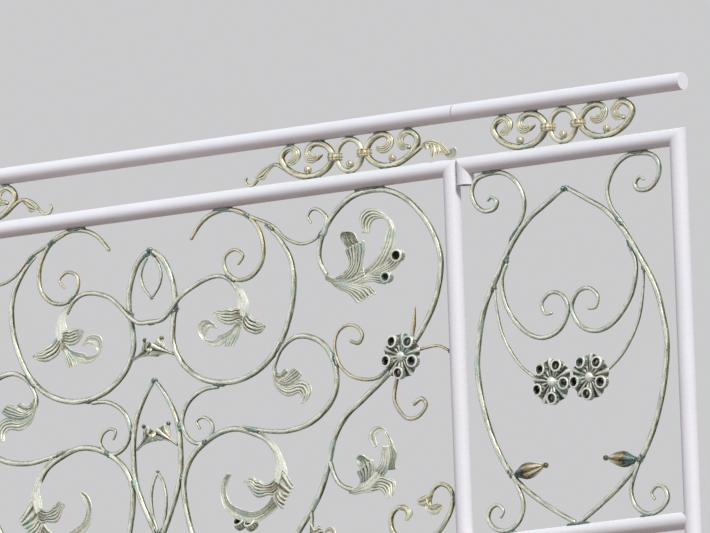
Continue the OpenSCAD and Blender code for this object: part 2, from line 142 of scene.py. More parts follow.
def new_material(name):
    """An empty material: its main shader, and the place on the object as a field."""
    material = bpy.data.materials.new(name)
    material.use_nodes = True
    tree = material.node_tree
    shader = tree.nodes["Principled BSDF"]
    place = tree.nodes.new("ShaderNodeTexCoord")
    return material, shader, Field(tree, place.outputs["Object"])


def feed(shader, place, colour, rough, height, depth):
    """Leads colour, roughness and a bump of the given depth in metres into the shader."""
    bump = place.node("ShaderNodeBump", {}, {"Height": height, "Distance": depth, "Strength": 1.0})
    for name, field in (("Base Color", colour), ("Roughness", rough), ("Normal", bump)):
        place.tree.links.new(field.socket, shader.inputs[name])


def facing(place, axis):
    """How far the surface faces along an axis of the scene, from -1 to 1."""
    return place.node("ShaderNodeNewGeometry", {}, {}, "Normal").part(axis)


tube_r = 0.019
rail_z = 0.96
bay, side_bay = 1.7, 0.62
enamel, shader, place = new_material("white_enamel")
down = facing(place, 2)
cloud = place.noise(9.0, 5.0)
speck = place.noise(260.0, 2.0).band(0.68, 0.76)
# Painted shade: faces that look down turn darker and warm, as if in shadow with light thrown up
# from the floor.
colour = down.band(-0.9, 0.35).mix(rgb(0.70, 0.62, 0.60), rgb(0.84, 0.84, 0.86))
colour = (cloud.band(0.45, 0.75) * 0.35).mix(colour, rgb(0.76, 0.75, 0.76))
colour = (speck * 0.35).mix(colour, rgb(0.46, 0.42, 0.38))
from_middle = place.math("ABSOLUTE", place.part(0) + bay / 2)
to_seam = place.math("ABSOLUTE", from_middle - (bay / 2 + tube_r))
upper = place.part(2).band(rail_z - tube_r - 0.001, rail_z - tube_r + 0.001)
seam = (1.0 - to_seam.band(0.0008, 0.0035)) * upper
colour = (seam * 0.5).mix(colour, rgb(0.60, 0.58, 0.62))
feed(shader, place, colour, 0.42 + 0.2 * cloud, place.noise(120.0, 3.0) + 3.0 * seam, 0.0004)
rails = [f"{rail}_{part}" for rail in ("handrail", "second_rail", "bottom_rail")
         for part in ("centre", "left", "right")]
posts = [f"post_{side}_{row}" for side in ("left", "right") for row in ("inner", "outer")]
for name in rails + posts + ["base_plates"]:
    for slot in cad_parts[name].material_slots:
        slot.material = enamel


# Forged bars: round iron drawn out at its ends, hammered, with a brushing of pale green and gold
# over a dark ground. Their front and back faces are painted paler as a painted highlight, and
# their sides in the plane of the railing darker as painted shade. Each is swept along the points
# of its scroll, in millimetres from the post axis and down from the second rail.
fullness = 1.06


def smooth(points, step=3.5):
    """Curve P(t) through the points, as (places, share of the way, length so far) in mm.

    Between two points b and c, P = (2b + t (c-a) + t^2 (2a-5b+4c-d) + t^3 (3b-a-3c+d)) / 2,
    parted evenly along its length.
    """
    p = np.array([[*q, 0][:3] for q in points], float)
    last = len(p) - 1
    ends = np.vstack([p[:1], p, p[-1:]])
    share = np.linspace(0, last, 24 * last + 1)
    i = np.minimum(share.astype(int), last - 1)
    t = (share - i)[:, None]
    a, b, c, d = ends[i], ends[i + 1], ends[i + 2], ends[np.minimum(i + 3, last + 2)]
    path = 0.5 * (2 * b + t * (c - a) + t ** 2 * (2 * a - 5 * b + 4 * c - d)
                  + t ** 3 * (3 * b - a - 3 * c + d))
    way = np.append(0, np.cumsum(np.linalg.norm(np.diff(path, axis=0), axis=1)))
    even = np.linspace(0, way[-1], max(8, int(way[-1] / step)))
    by_the_end = np.array([0.1, 0.4, 0.9, 1.7])
    even = np.unique(np.concatenate([even, by_the_end, way[-1] - by_the_end]))
    places = np.column_stack([np.interp(even, way, path[:, k]) for k in range(3)])
    return places[:, [0, 2, 1]], np.interp(even, way, share) / last, even


def spread(values, share):
    """Value of an evenly spaced list at each share of the way."""
    return np.interp(share * (len(values) - 1), np.arange(len(values)), values)


def solid(points, corners, grain):
    """A closed surface of four-cornered faces, turned so that its faces look outwards.

    The grain of a point is (across, through, along, brightness): how the metal runs there, in mm,
    and how pale its colour is, from 0 to 1: how much of the dark ground has been rubbed over, and
    in places also painted highlight and painted shade.
    """
    a, b, c, d = (points[corners[:, k]] for k in range(4))
    volume = np.einsum("ij,ij->", a, np.cross(b, c)) + np.einsum("ij,ij->", a, np.cross(c, d))
    return points, corners[:, ::-1] if volume < 0 else corners, grain


def faces(rows, sides, strips):
    """Four-cornered faces of so many strips between rows of points, each row a closed ring."""
    row, side = np.meshgrid(np.arange(strips), np.arange(sides), indexing="ij")
    far, after = (row + 1) % rows, (side + 1) % sides
    return np.stack([row * sides + side, row * sides + after,
                     far * sides + after, far * sides + side], -1).reshape(-1, 4)


def tube_of(rings, length, wear_and_painted_light):
    """Closed skin over rings (rows, sides, 3), its ends drawn to their middle points."""
    rows, sides = rings.shape[:2]
    skin = np.concatenate([
        np.repeat(rings[:1].mean(1, keepdims=True), sides, 1), rings,
        np.repeat(rings[-1:].mean(1, keepdims=True), sides, 1)])
    turn = 2 * np.pi * np.arange(sides) / sides
    grain = np.empty((rows + 2, sides, 4))
    grain[..., 0] = np.cos(turn)
    grain[..., 1] = np.sin(turn)
    grain[1:-1, :, 2] = length[:, None]
    grain[1:-1, :, 3] = wear_and_painted_light
    grain[0, :, 2:] = grain[1, :, 2:]
    grain[-1, :, 2:] = grain[-2, :, 2:]
    return solid(skin.reshape(-1, 3), faces(rows + 2, sides, rows + 1), grain.reshape(-1, 4))


def bar(points, widths, depths=None, sides=14):
    """Forged bar along points: widths in the plane of the railing, depths across it.

    Each ring is an ellipse of half axes w and h round the curve, a little fuller than drawn. Both
    are rounded off at the ends and swell by 1 + 0.02 sin(s / 7) sin(s / 17) at the length s.
    """
    path, share, way = smooth(points)
    ahead = np.gradient(path[:, [0, 2]], way, axis=0)
    ahead /= np.linalg.norm(ahead, axis=1)[:, None]
    w = spread(widths, share) / 2 * fullness
    h = w if depths is None else spread(depths, share) / 2 * fullness
    near = np.minimum(way, way[-1] - way) / np.maximum(w, 0.1)
    blunt = np.sqrt(np.clip(1 - (1 - np.minimum(near, 1)) ** 2, 0.004, 1))
    hammer = 1 + 0.02 * np.sin(way / 7 + len(points)) * np.sin(way / 17)
    turn = 2 * np.pi * np.arange(sides) / sides
    across = (w * blunt * hammer)[:, None] * np.cos(turn)
    rings = np.stack([
        path[:, :1] - ahead[:, 1:] * across,
        path[:, 1:2] + (h * blunt * hammer)[:, None] * np.sin(turn),
        path[:, 2:] + ahead[:, :1] * across], -1)
    # Painted highlight and shade over real rubbing: faces towards the front and back are paler,
    # and the sides in the plane of the railing are darker.
    return tube_of(rings, way, 0.04 + 0.8 * np.abs(np.sin(turn)) ** 1.5)


def placed(solids, spots):
    """The solids in metres at each spot: (1 or -1 for the way that x runs, x, z)."""
    return [(points * [s / 1000, 0.001, 0.001] + [x, 0, z], corners[:, ::s], grain)
            for s, x, z in spots for points, corners, grain in solids]


def piece(name, solids, material, slot, *nodes):
    """One object made of closed solids, which stands for the named nodes of the frame."""
    start = np.cumsum([0] + [len(points) for points, _, _ in solids])
    points = np.concatenate([points for points, _, _ in solids])
    corners = np.concatenate([corners + s for s, (_, corners, _) in zip(start, solids)])
    grain = np.concatenate([grain for _, _, grain in solids])
    mesh = bpy.data.meshes.new(name)
    mesh.vertices.add(len(points))
    mesh.vertices.foreach_set("co", points.ravel())
    mesh.loops.add(corners.size)
    mesh.loops.foreach_set("vertex_index", corners.ravel().astype(np.int32))
    mesh.polygons.add(len(corners))
    mesh.polygons.foreach_set("loop_start", np.arange(0, corners.size, 4, dtype=np.int32))
    mesh.update(calc_edges=True)
    mesh.attributes.new("grain", "FLOAT_VECTOR", "POINT").data.foreach_set(
        "vector", grain[:, :3].ravel())
    mesh.attributes.new("wear_and_painted_light", "FLOAT", "POINT").data.foreach_set("value", grain[:, 3].ravel())
    mesh.validate()
    mesh.polygons.foreach_set("use_smooth", np.ones(len(mesh.polygons), bool))
    mesh.materials.append(material)
    made = bpy.data.objects.new(name, mesh)
    scene.collection.objects.link(made)
    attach(made, "root")
    if nodes:
        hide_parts(*nodes)


def pair(label, solids, material, slot, node, spots):
    """A piece on the right and its like on the left, whose side takes the place of {} in names."""
    for side, spot in zip(("right", "left"), spots):
        piece(label.format(side), placed(solids, spot), material, slot, node.format(side))


def patina(name, light, mid, dark, green):
    """Forged metal: a dark ground, with a brushing of two paler tones in streaks along the bar,
    with green blots and tan spots where it weathers. How far the paler tones reach is set by each
    piece, partly as brushing and partly as painted highlight and painted shade.
    """
    material, shader, place = new_material(name)
    grain = place.node("ShaderNodeAttribute", {"attribute_name": "grain"}, {}, "Vector")
    wear_and_painted_light = place.node("ShaderNodeAttribute", {"attribute_name": "wear_and_painted_light"}, {}, "Fac")
    streak = grain.times((1.5, 1.5, 0.014)).noise(2.0, 5.0, 0.6)
    blot = place.noise(24.0, 4.0, 0.6)
    spot = place.times((1.0, 1.0, 1.3)).noise(41.0, 4.0, 0.6)
    fine = place.noise(190.0, 4.0, 0.65)
    # The paler tones follow the rubbing and also the painted highlights and painted shade that the
    # pieces carry.
    brushing_and_painted_light = wear_and_painted_light + 2.4 * (streak - 0.5) + 0.7 * (fine - 0.5)
    colour = brushing_and_painted_light.band(0.08, 0.46).mix(dark, mid)
    colour = brushing_and_painted_light.band(0.42, 0.86).mix(colour, light)
    colour = (blot.band(0.50, 0.62) * streak.band(0.36, 0.58) * 0.6).mix(colour, green)
    rusty = spot.band(0.57, 0.68) * fine.band(0.42, 0.60) * 0.6
    colour = rusty.mix(colour, rgb(0.42, 0.25, 0.11))
    feed(shader, place, colour, 0.26 + 0.32 * fine, fine + streak, 0.0006)
    shader.inputs["Metallic"].default_value = 0.45
    return material


iron = patina("patina_iron", rgb(0.86, 0.87, 0.75), rgb(0.38, 0.38, 0.26), rgb(0.06, 0.05, 0.035),
              rgb(0.33, 0.48, 0.42))
gilt = patina("gilt_iron", rgb(0.84, 0.81, 0.62), rgb(0.36, 0.32, 0.18), rgb(0.06, 0.045, 0.02),
              rgb(0.36, 0.50, 0.41))
bronze = patina("bronze_iron", rgb(0.83, 0.76, 0.57), rgb(0.38, 0.31, 0.17),
                rgb(0.06, 0.045, 0.025), rgb(0.30, 0.44, 0.36))
pale = patina("pale_iron", rgb(0.88, 0.89, 0.78), rgb(0.32, 0.34, 0.26), rgb(0.05, 0.05, 0.045),
              rgb(0.40, 0.54, 0.47))
teal = patina("teal_iron", rgb(0.56, 0.64, 0.55), rgb(0.17, 0.23, 0.20), rgb(0.03, 0.045, 0.05),
              rgb(0.22, 0.34, 0.30))
bar_d, mid_d, end_d = 12.0, 9.84, 8.4
tendril_d, tip_d = 7.0, 5.25
centre_left, centre_right = [(1, -bay, rail_z)], [(-1, 0.0, rail_z)]
side_left = [(-1, -bay, rail_z), (1, -bay - side_bay, rail_z)]
side_right = [(1, 0.0, rail_z), (-1, side_bay, rail_z)]
centre_halves, side_bays = (centre_right, centre_left), (side_right, side_left)


# Leaves: iron drawn out to a sheet, hammered into flutes between two edges, its lobes rounded at
# their tips and rolled to the front; the tubes are lobes rolled up whole.
sheet_d = 2.4
rim_wide, rim_high = 1.6, 1.2


def curve(points, count):
    """Count places along the curve through points (x, z), shared out evenly between them."""
    path, share, _ = smooth(points, 1.0)
    even = np.linspace(0, 1, count)
    return np.column_stack([np.interp(even, share, path[:, k]) for k in range(3)])


def sheet(grid, wear_and_painted_light):
    """Closed sheet over a grid (rows, columns, 3) of its middle, in mm."""
    normal = np.cross(np.gradient(grid, axis=0), np.gradient(grid, axis=1))
    normal /= np.maximum(np.linalg.norm(normal, axis=-1, keepdims=True), 1e-9)
    rings = np.concatenate([grid + normal * sheet_d / 2,
                            (grid - normal * sheet_d / 2)[:, ::-1]], 1)
    rows, sides = rings.shape[:2]
    k = np.arange(sides // 2 - 1)
    rim = np.stack([k, sides - 1 - k, sides - 2 - k, k + 1], -1)
    corners = np.concatenate([
        faces(rows, sides, rows - 1), rim, (rows - 1) * sides + rim[:, ::-1]])
    grain = np.zeros((rows, sides, 4))
    reach = np.linspace(-4, 4, sides // 2)
    grain[..., 0] = np.concatenate([reach, reach[::-1]])
    grain[..., 2] = np.linspace(0, 60, rows)[:, None]
    grain[..., 3] = np.concatenate([wear_and_painted_light, wear_and_painted_light[:, ::-1]], 1)
    return solid(rings.reshape(-1, 3), corners, grain.reshape(-1, 4))


def lobe(edge, other, flutes, depth=(0, -4, -6), relief=(2.6,), cup=3.0, end=4.0, ground=0.9,
         rows=36):
    """Fluted blade between two edges (x, z), whose front lies at the depths along its length.

    At u from edge to edge, y = depth(v) - relief(v) |sin(pi flutes u)| + cup (2u-1)^2, less where
    the blade is narrow. The tip of each flute stands out by end |sin(pi flutes u)|, and a rim
    about 2 mm wide is rolled forwards and rubbed bright.
    """
    a, b = curve(edge, rows), curve(other, rows)
    wide = np.linalg.norm(a - b, axis=1)
    u = np.linspace(0, 1, 12 * flutes + 1)[:, None]
    v = np.linspace(0, 1, rows)
    ridge = np.abs(np.sin(np.pi * flutes * u[:, 0]))
    grid = a[:, None] * (1 - u) + b[:, None] * u
    out = (a[-1] + b[-1] - a[-4] - b[-4]) / 2
    out /= max(np.linalg.norm(out), 1e-6)
    grid += out * (end * ridge[:, None] ** 0.7) * (v ** 8)[:, None, None]
    narrow = np.minimum(wide / (6 * flutes), 1)
    swell = np.minimum(v * 4, 1) * narrow
    to_edge = np.minimum(u[:, 0], 1 - u[:, 0]) * wide[:, None]
    rim = np.exp(-(to_edge / rim_wide) ** 2)
    high = spread(relief, v)[:, None]
    grid[..., 1] = spread(depth, v)[:, None] - 2 + swell[:, None] * (
        cup * (2 * u[:, 0] - 1) ** 2 - high * ridge)
    grid[..., 1] -= rim_high * rim
    rim = np.maximum(rim, (v ** 20)[:, None])
    # Painted shade: each lobe is darker towards its root, where it springs from the bar.
    root_painted_shade = np.minimum(0.45 + v * 1.6, 1)[:, None]
    valley = np.minimum(high / 2.8, 1) * (1 - ridge ** 2.5)
    wear_and_painted_light = np.maximum(ground * root_painted_shade * (1 - 0.85 * valley), 0.95 * rim)
    return sheet(grid, wear_and_painted_light)


def blade(middle, widths, flutes, **more):
    """Lobe of the given widths along its middle line (x, z)."""
    path = curve(middle, 24)
    ahead = np.gradient(path[:, [0, 2]], axis=0)
    ahead /= np.linalg.norm(ahead, axis=1)[:, None]
    w = spread(widths, np.linspace(0, 1, 24))[:, None] / 2
    out = np.column_stack([-ahead[:, 1], ahead[:, 0]]) * w
    middle = path[:, [0, 2]]
    return lobe((middle + out)[::3], (middle - out)[::3], flutes, **more)


def lathe(profile, centre, axis, steps=4, sides=28, flutes=0, depth=0.1, twist=0.0):
    """Turned body: profile of (distance along the axis, radius) from a centre, in mm.

    With flutes its radius is r (1 + depth cos(flutes a + twist t)) at the angle a.
    """
    profile = np.array(profile, float)
    t = np.linspace(0, len(profile) - 1, (len(profile) - 1) * steps + 1)
    far = np.interp(t, np.arange(len(profile)), profile[:, 0])
    radius = np.interp(t, np.arange(len(profile)), profile[:, 1])
    axis = np.array(axis, float) / np.linalg.norm(axis)
    one = np.cross(axis, [0.3, 0.2, 0.9])
    one /= np.linalg.norm(one)
    two = np.cross(axis, one)
    turn = 2 * np.pi * np.arange(sides) / sides
    wave = np.cos(flutes * turn + twist * t[:, None]) if flutes else np.zeros((len(t), sides))
    ring = np.cos(turn)[:, None] * one + np.sin(turn)[:, None] * two
    rings = (np.array(centre, float) + far[:, None, None] * axis
             + (radius[:, None] * (1 + depth * wave))[..., None] * ring)
    return tube_of(rings, far, 0.65 + 0.35 * wave)


def eye(x, z, r, y=0.0, tilt=(0, -1, 0), foot=-9):
    """Lobe rolled up to a short open tube from foot to 10: bright rim, dark hole."""
    points, corners, grain = lathe(
        [(foot, 0.1), (foot, r), (-2, r * 1.08), (5, r), (9, r), (10, r * 0.88),
         (9.5, r * 0.64), (7, r * 0.54), (-3, r * 0.5), (-3, 0.1)], (x, y, z), tilt)
    far = grain[:, 2]
    hole_from, lip_from = 0.62 * len(points), 8
    inside = np.arange(len(points)) > hole_from
    grain[:, 3] = np.where(inside, -0.6, np.where(far > lip_from, 1.1, 0.4))
    return points, corners, grain


# Acanthus scroll: a great round bar bent to an S, which passes behind the rosette and is welded to
# the second rail and the bottom rail. Three leaves are forged from its ends and branches, and two
# lobes of the upper leaf are rolled up to tubes.
acanthus = [
    bar([(355, -200), (375, -160), (365, -112), (330, -66), (280, -34), (228, -25), (175, -31),
         (120, -60), (70, -115), (42, -175), (40, -225), (60, -290), (100, -350), (150, -400),
         (205, -442), (265, -482), (315, -515), (350, -560), (370, -620), (400, -685),
         (460, -758), (490, -790), (525, -810), (558, -801), (570, -780), (553, -766),
         (541, -780)], [mid_d] + [bar_d] * 6 + [end_d]),
    bar([(362, -112), (350, -78), (365, -56), (388, -49), (403, -63), (394, -80)],
        [bar_d, tendril_d, tip_d]),
    lobe([(358, -198), (336, -207), (310, -204), (284, -196), (265, -194), (250, -194)],
         [(358, -211), (334, -224), (312, -238), (283, -239), (259, -231), (241, -223)], 5,
         depth=(1, -1, -2, -3, -4, -4), relief=(0.8,), ground=0.7, end=0),
    lobe([(285, -148), (299, -136), (306, -126), (307, -118), (300, -111), (283, -110)],
         [(238, -139), (253, -136), (260, -128), (264, -119), (271, -113), (281, -110)], 2,
         depth=(-12, -6, -4, -5, -7, -10), relief=(0.8,), cup=-3, ground=0.4, end=0),
    lobe([(346, -206), (326, -206), (307, -200), (293, -191), (285, -181), (285, -170),
          (288, -160), (289, -154)],
         [(311, -222), (282, -219), (264, -209), (253, -196), (247, -183), (242, -169),
          (236, -154), (236, -138)], 6, depth=(1, -3, -6, -9, -12, -15)),
    lobe([(269, -214), (247, -200), (222, -185), (204, -170), (193, -156), (186, -140),
          (180, -124), (173, -111), (175, -99), (185, -92), (198, -91), (209, -93), (215, -101),
          (216, -110), (218, -119)],
         [(260, -231), (217, -216), (193, -202), (175, -184), (165, -169), (156, -156),
          (154, -140), (154, -124), (160, -106), (171, -92), (186, -79), (204, -68), (227, -67),
          (244, -83), (237, -115)], 4, depth=(0, -4, -8, -9, -8, -8, -10, -13, -17, -19),
         relief=(0.8, 0.8, 1, 2.6, 2.6), rows=64, end=5),
    lobe([(270, -222), (230, -207), (206, -197), (185, -185), (172, -177)],
         [(265, -229), (223, -217), (192, -211), (164, -206), (143, -191)], 5,
         depth=(0, -5, -5, -5), end=0),
    lobe([(288, -224), (252, -216), (228, -212), (207, -211), (197, -211)],
         [(280, -231), (245, -227), (224, -227), (207, -233), (188, -237)], 4,
         depth=(0, -4, -4, -5), end=0),
    lobe([(336, -211), (303, -221), (274, -228), (247, -235), (227, -240), (211, -254)],
         [(346, -216), (331, -227), (312, -237), (292, -246), (278, -258), (265, -271)], 6,
         depth=(1, -3, -6, -9, -13)),
    eye(151, -178, 14, -8, (-0.2, -1, -0.05)),
    eye(184, -222, 12.5, -7, (-0.2, -1, -0.05)),
    bar([(366, -608), (352, -648), (330, -670), (298, -682)], [mid_d, mid_d]),
    lobe([(313, -676), (299, -676), (286, -671), (277, -663), (261, -652), (238, -641)],
         [(314, -689), (296, -692), (274, -690), (245, -690), (224, -676), (211, -660)], 4,
         depth=(1, -1, -2, -3, -4, -4), relief=(0.8,), ground=0.9, end=0),
    lobe([(275, -638), (281, -627), (285, -617), (278, -609), (266, -607)],
         [(236, -628), (243, -621), (251, -617), (259, -611), (265, -607)], 1,
         depth=(-8, -5, -4, -6, -10), relief=(-1,), cup=-4, ground=0.5, end=0),
    lobe([(284, -673), (280, -664), (278, -657), (279, -651), (280, -646)],
         [(250, -670), (243, -655), (238, -643), (234, -633), (235, -623)], 5,
         depth=(0, -5, -9, -14)),
    lobe([(202, -647), (200, -631), (199, -616), (199, -600), (199, -586), (200, -571),
          (206, -562), (215, -561), (222, -565), (225, -572), (222, -582), (219, -593)],
         [(178, -647), (179, -633), (174, -612), (181, -598), (185, -585), (192, -573),
          (200, -560), (212, -549), (230, -548), (242, -558), (243, -576), (228, -595)], 2,
         depth=(-2, -3, -3, -4, -6, -9, -12, -14), relief=(1.2,), cup=-1, rows=56, ground=0.8,
         end=0),
    lobe([(250, -661), (237, -641), (226, -634), (218, -623), (215, -611), (210, -596)],
         [(225, -673), (212, -658), (201, -649), (196, -636), (193, -619), (193, -597)], 4,
         depth=(0, -6, -8, -8, -9), relief=(1, 2), end=3),
    lobe([(261, -669), (232, -660), (213, -659), (197, -666), (183, -672), (180, -682),
          (182, -695), (187, -706)],
         [(272, -687), (251, -689), (234, -688), (224, -688), (217, -693), (212, -699),
          (207, -703), (200, -707)], 5, depth=(1, -4, -6, -8, -13)),
    bar([(423, -711), (421, -731), (422, -746), (418, -764)], [mid_d, 8, 7.5, 6]),
    lobe([(424, -742), (414, -755), (403, -754), (395, -751), (386, -759)],
         [(427, -770), (413, -778), (400, -779), (390, -776), (382, -770)], 3,
         depth=(0, -3, -6, -9)),
    lobe([(416, -760), (426, -778), (431, -796)], [(402, -776), (408, -793), (416, -806)], 3,
         depth=(-1, -5, -9)),
    lobe([(402, -772), (384, -766), (374, -758), (361, -757), (350, -765), (346, -779)],
         [(404, -792), (390, -786), (380, -775), (368, -772), (361, -779), (360, -789)], 2,
         depth=(-2, -3, -4, -6, -9), relief=(1.2,), cup=-2, ground=0.8, end=0),
]
pair("acanthus_{}", acanthus, iron, "patina_iron", "acanthus_scroll_{}", centre_halves)

# Heart: two round bars, bent to mirror each other. Each runs from the link under the second rail
# round to the axis of the bay, where the two meet in a point and are welded.
heart = [bar([(526, -69.5), (506, -84), (480, -110), (456, -150), (448, -200), (458, -262),
              (490, -332), (545, -383), (620, -407), (700, -398), (760, -362), (792, -310),
              (792, -260), (784, -215), (790, -165), (812, -118), (844, -92)],
             [3.5, mid_d] + [bar_d] * 7)]
piece("heart", placed(heart, centre_left + centre_right), iron, "patina_iron", "heart_scrolls")

# Leaf stems: bars laid across the axis of the bay in front of the heart, bent back at both sides
# and hammered out to a leaf at each end.
lap = 9.66
stem = [
    bar([(856, -252, -lap), (818, -251, -lap), (790, -232, -lap), (762, -205, -lap), (727, -183),
         (685, -170), (652, -170), (625, -184), (605, -210)], [mid_d, mid_d, mid_d, end_d]),
    lobe([(623, -187), (613, -200), (607, -216), (605, -229), (608, -242), (602, -263)],
         [(614, -189), (597, -200), (585, -215), (576, -233), (573, -249), (579, -271)], 3,
         depth=(0, -2, -3, -4), relief=(0.7,), ground=1.1, end=0),
    lobe([(593, -251), (609, -245), (619, -247), (626, -245), (634, -243), (640, -246),
          (646, -247), (652, -248), (658, -251)],
         [(594, -279), (601, -276), (612, -279), (623, -281), (634, -280), (645, -275),
          (652, -270), (660, -263), (664, -257)], 5, depth=(-3, -5, -8, -14)),
    lobe([(582, -258), (572, -264), (566, -270), (558, -274), (550, -277), (546, -284),
          (533, -288), (524, -294)],
         [(593, -279), (589, -291), (580, -300), (567, -306), (554, -310), (541, -309),
          (530, -305), (523, -299)], 4, depth=(-3, -5, -8, -14)),
    lobe([(604, -276), (613, -291), (625, -305), (635, -315), (639, -325)],
         [(590, -277), (597, -291), (603, -307), (608, -318), (613, -328)], 4,
         depth=(-3, -4, -6, -10)),
    lobe([(607, -275), (618, -288), (631, -295), (646, -299), (660, -303), (667, -310),
          (681, -310), (695, -307), (697, -300), (691, -292), (686, -287), (678, -283),
          (670, -283), (660, -287)],
         [(593, -288), (606, -300), (621, -309), (635, -317), (649, -322), (662, -325),
          (676, -324), (691, -317), (705, -305), (714, -289), (712, -273), (697, -265),
          (676, -267), (658, -285)], 2, depth=(-5, -3, -2, -2, -4, -8, -10), relief=(0.8,),
         cup=-3, rows=56, ground=0.85, end=0),
]
piece("leaf_stems_forged", placed(stem, centre_left + centre_right), iron, "patina_iron",
      "leaf_stems")

# Loop scroll: a round bar bent to an open loop beside the heart, and welded to it and to the arch
# of the foot scroll. Its inner end is hammered out to a small leaf.
loop = [
    bar([(500, -420), (512, -395), (504, -370), (489, -348), (465, -332), (440, -326),
         (408, -331), (372, -350), (347, -386), (338, -425), (345, -462), (372, -495),
         (420, -522), (480, -532), (535, -527), (578, -517), (606, -509)],
        [end_d, end_d, mid_d, bar_d, bar_d, bar_d, bar_d, mid_d, 3.5]),
    lobe([(499, -395), (498, -400), (492, -403), (484, -401), (478, -397), (472, -396),
          (467, -400)],
         [(507, -406), (502, -410), (494, -413), (482, -411), (472, -407), (467, -404),
          (466, -402)], 1, depth=(-2, -4, -8, -10), relief=(1.5,), ground=0.6, end=0),
    lobe([(507, -405), (498, -409), (485, -411), (471, -411), (458, -414), (448, -420)],
         [(508, -421), (497, -429), (484, -436), (472, -438), (460, -433), (449, -426)], 4,
         depth=(-1, -3, -4, -5), relief=(1, 2), end=0),
    lobe([(492, -421), (482, -416), (471, -411), (463, -405), (454, -400), (444, -398)],
         [(489, -426), (477, -429), (463, -430), (448, -426), (434, -422), (425, -414)], 4,
         depth=(-4, -7, -10, -14)),
    lobe([(500, -391), (501, -408), (497, -421), (484, -429), (466, -433), (450, -430),
          (439, -425), (425, -426), (411, -433), (402, -445), (401, -455), (407, -466),
          (415, -475)],
         [(513, -389), (514, -408), (510, -425), (501, -439), (488, -450), (474, -456),
          (463, -457), (451, -454), (441, -452), (434, -456), (429, -462), (427, -469),
          (429, -475)], 4, depth=(0, -2, -5, -6, -10, -15), relief=(0.6, 1, 2.6, 2.6), rows=56),
]
pair("loop_{}", loop, iron, "patina_iron", "loop_scroll_{}", centre_halves)

# Foot scroll: a round bar that rises from its foot on the bottom rail to an arch and ends in a
# leaf with two rolled tubes; a hook and a small volute are welded to the top of the arch.
foot = [
    bar([(513, -578), (537, -549), (572, -530), (620, -514), (665, -516), (708, -532),
         (743, -555), (766, -584), (777, -617), (777, -650), (770, -690), (756, -738),
         (722, -792), (682, -810), (648, -800), (636, -779), (650, -765), (664, -778)],
        [mid_d, bar_d, bar_d, bar_d, bar_d, end_d]),
    bar([(668, -415), (712, -417), (748, -434), (770, -460), (776, -490), (762, -519),
         (738, -534), (712, -534)], [end_d, mid_d, mid_d, end_d]),
    bar([(705, -530), (690, -508), (697, -488), (717, -478), (735, -485), (726, -504)],
        [end_d, tendril_d, tip_d]),
    lobe([(557, -533), (539, -549), (522, -572), (515, -591), (515, -605), (519, -619),
          (523, -640)],
         [(553, -525), (531, -543), (509, -565), (495, -589), (486, -610), (482, -628),
          (493, -654)], 3, depth=(0, -1, -2, -3, -4), relief=(0.7,), ground=1.1, end=0),
    lobe([(511, -632), (529, -640), (543, -643), (552, -639), (558, -634), (565, -634),
          (572, -628), (581, -628), (590, -634)],
         [(510, -664), (521, -672), (536, -669), (551, -672), (564, -672), (574, -665),
          (580, -656), (586, -646), (594, -640)], 5, depth=(-3, -6, -9, -14)),
    lobe([(526, -672), (535, -684), (548, -694), (563, -700), (581, -702), (600, -698),
          (617, -691), (635, -682), (646, -669), (651, -653), (648, -637), (642, -624),
          (633, -614)],
         [(511, -700), (523, -707), (540, -716), (556, -723), (574, -727), (595, -726),
          (617, -718), (637, -707), (657, -689), (666, -667), (667, -645), (659, -624),
          (643, -611)], 2, depth=(-4, -3, -3, -3, -4, -6), relief=(0.8,), cup=-3, rows=64,
         ground=0.7, end=0),
    lobe([(495, -615), (483, -628), (472, -643), (462, -656)],
         [(512, -660), (504, -671), (491, -677), (479, -679)], 3, depth=(-3, -6, -10)),
    lobe([(507, -658), (496, -672), (480, -679)],
         [(519, -675), (512, -691), (495, -705)], 3, depth=(-3, -6, -10)),
    eye(621, -724, 14, -3, tilt=(0, -0.8, 0.6)),
    eye(590, -729, 14, -3, tilt=(0, -0.8, 0.6)),
]
pair("foot_{}", foot, iron, "patina_iron", "foot_scroll_{}", centre_halves)

# Lyre: two round bars that rise from volutes on the bottom rail and are welded together where
# they meet on the axis of the bay.
lyre = [bar([(846, -385), (822, -415), (799, -455), (787, -495), (783, -545), (787, -602),
             (802, -648), (822, -690), (844, -738), (836, -778), (812, -804), (786, -810),
             (764, -798), (762, -780), (776, -773)], [end_d, bar_d, bar_d, bar_d, bar_d, end_d])]
piece("lyre", placed(lyre, centre_left + centre_right), iron, "patina_iron", "lyre_scrolls")


# Axis flowers: four bell flowers of thin sheet, open towards the axis of the bay, and four thin
# bars bent to two drops on it, all welded to the heart and the lyre.
def stretched(profile, length):
    """Profile whose distances are given in shares of a length."""
    return [(share * length, radius) for share, radius in profile]


